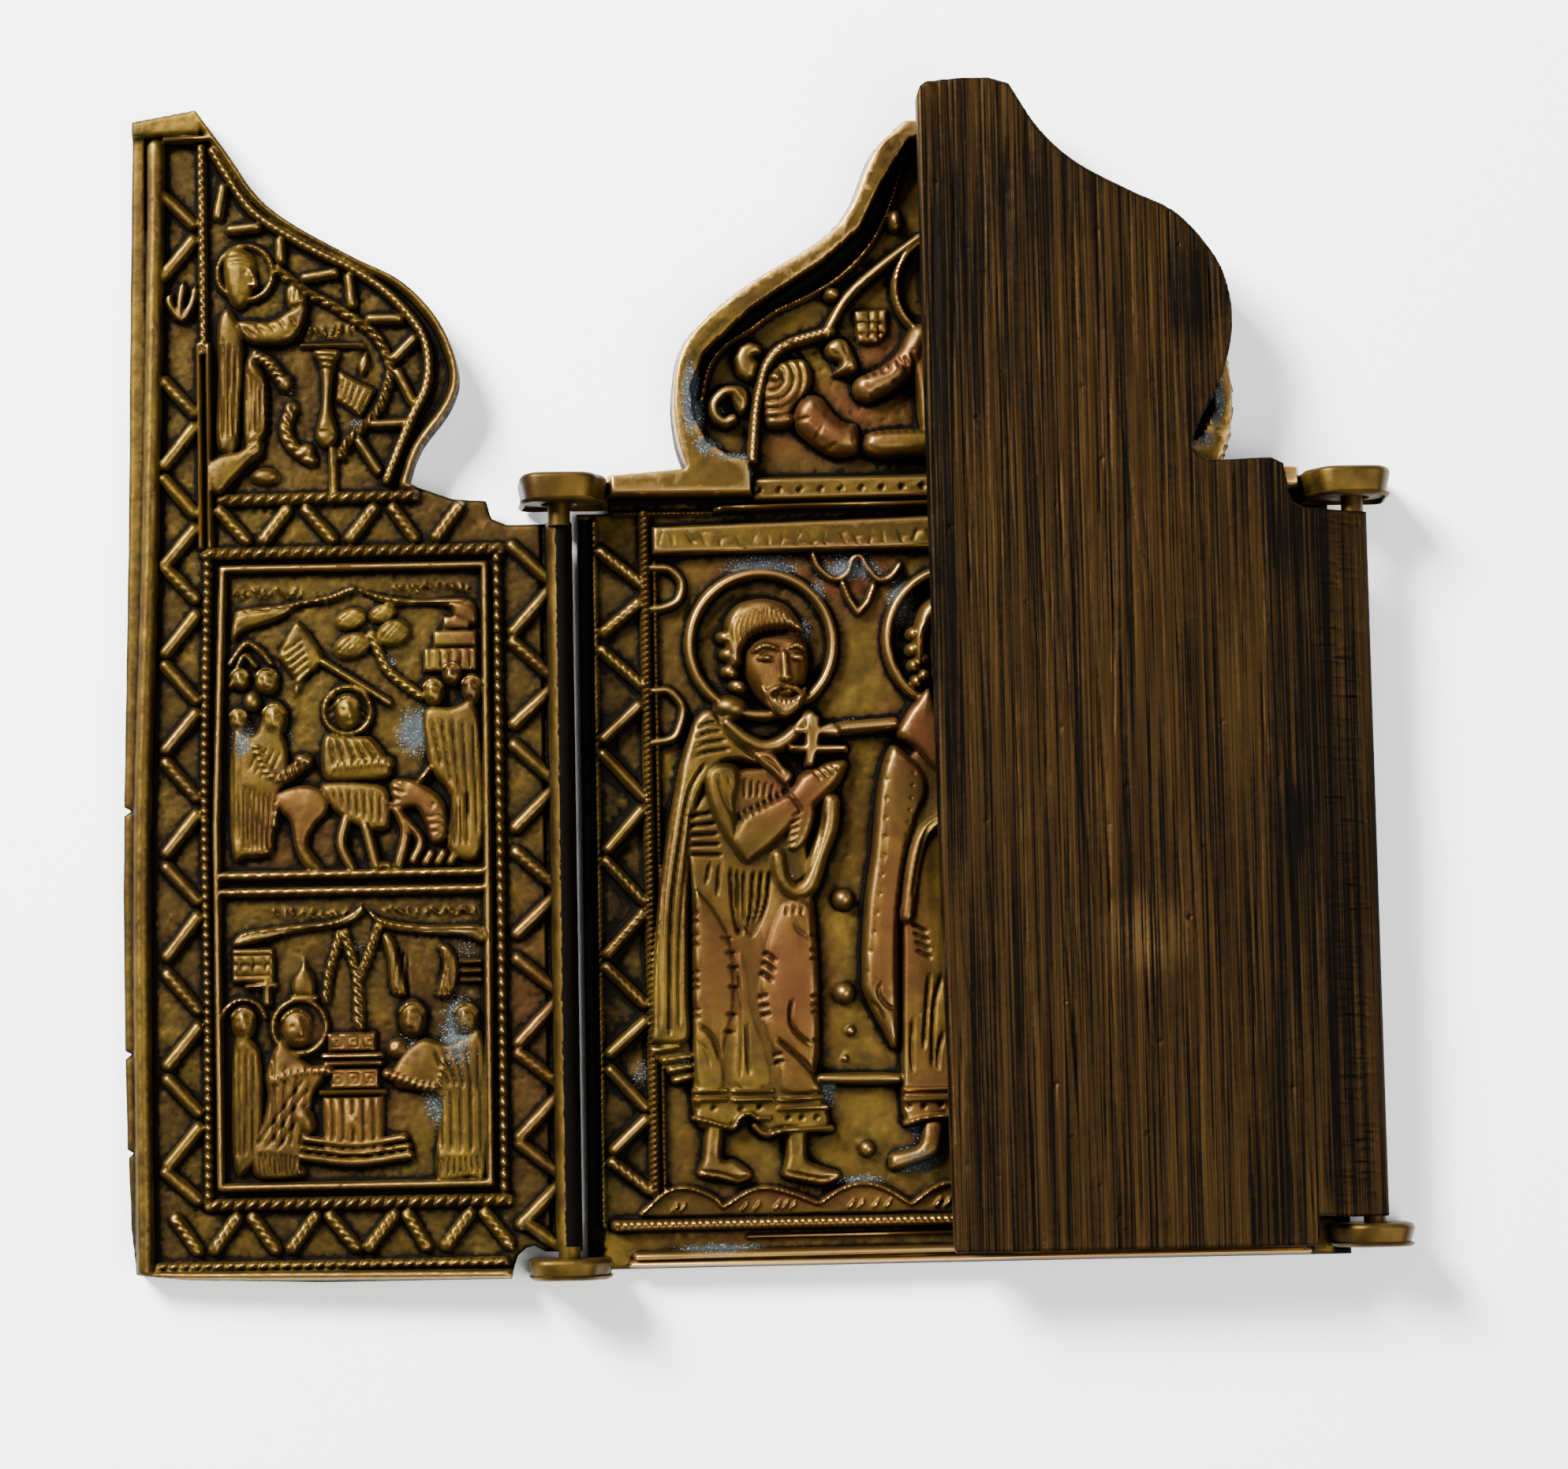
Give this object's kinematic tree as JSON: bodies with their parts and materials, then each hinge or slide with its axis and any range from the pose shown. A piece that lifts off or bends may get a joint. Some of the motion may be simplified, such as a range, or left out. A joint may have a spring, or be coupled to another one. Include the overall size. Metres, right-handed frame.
{
  "type": "folding brass triptych icon",
  "caption": "Pocket folding icon of cast brass: an ogee-crested centre leaf in deep relief with two half-crested wings hinged on cast pins in lugs, worn and patinated.",
  "frame": {"origin": "on the flat back of the centre leaf, midway between the hinge axes and half way up the hinge bars", "axes": "+X to the right across the leaves, +Y up the leaves to the crest, +Z out of the relief; the icon lies on its back with the left wing open and the right wing folded over the centre"},
  "size_m": [0.1035, 0.0968, 0.0074],
  "materials": {
    "centre_brass": "cast brass with a dark brown-olive patina, coppery where rubbed, blue-grey corrosion in the recesses",
    "left_brass": "cast brass with a dark olive-gold patina, rubbed bright on the high points, crusted recesses",
    "right_brass": "cast brass, back coarsely filed flat along its length, dark in the file marks, bevel filed crosswise"
  },
  "bodies": {
    "centre": {"centre_leaf": "centre_brass"},
    "left_leaf": {"left_wing": "left_brass"},
    "right_leaf": {"right_wing": "right_brass"}
  },
  "joints": [
    {"name": "left_hinge", "type": "hinge", "parent": "centre", "child": "left_leaf", "pos_m": [-0.0324, 0, 0.0045], "axis": [0, 1, 0], "range_deg": [0, 176.5]},
    {"name": "right_hinge", "type": "hinge", "parent": "centre", "child": "right_leaf", "pos_m": [0.0324, 0, 0.0045], "axis": [0, 1, 0], "range_deg": [0, 182.5]}
  ]
}
